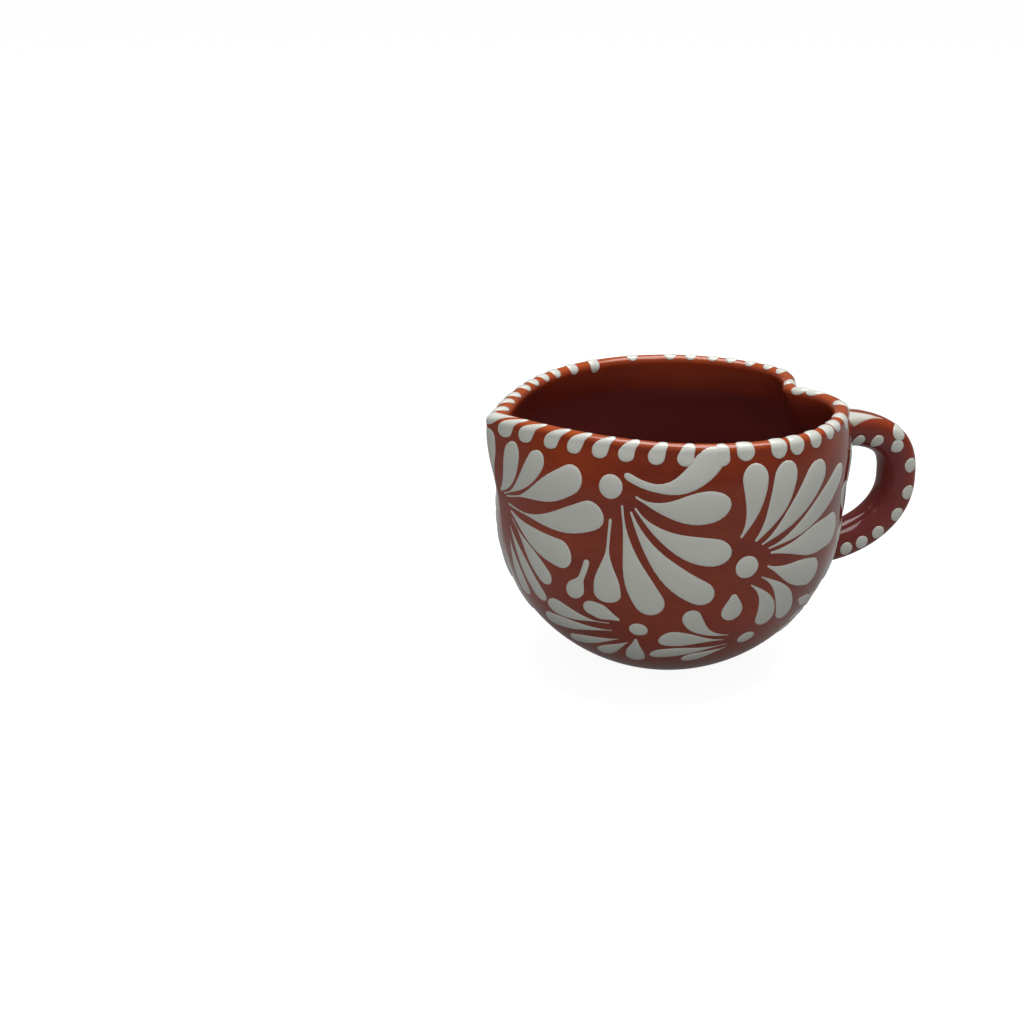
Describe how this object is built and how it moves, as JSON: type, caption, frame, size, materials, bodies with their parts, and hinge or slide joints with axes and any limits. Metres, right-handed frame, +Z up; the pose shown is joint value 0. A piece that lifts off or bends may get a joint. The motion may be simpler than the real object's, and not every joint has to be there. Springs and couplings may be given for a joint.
{
  "type": "clay mug",
  "caption": "Round-bellied clay mug with a heart-shaped mouth that ends in a pouring tip, a loop handle and raised white slip petals and dots.",
  "frame": {"origin": "centre of the flat base, on the surface that the mug stands on", "axes": "+X from the pouring tip through the cleft to the handle, -Y to the near side in the picture, +Z up"},
  "size_m": [0.123, 0.0928, 0.0702],
  "materials": {
    "clay": "red-brown earthenware under a clear gloss glaze",
    "slip": "raised white slip under the same clear gloss glaze"
  },
  "bodies": {
    "root": {"bowl": "clay", "handle": "clay", "rim_drops": "slip", "tip_fan": "slip", "near_front_fan": "slip", "far_front_fan": "slip", "near_lobe_fan": "slip", "far_lobe_fan": "slip", "near_handle_fan": "slip", "far_handle_fan": "slip", "low_fans": "slip", "fan_eyes": "slip", "handle_leaves": "slip", "handle_drops": "slip"}
  },
  "joints": []
}
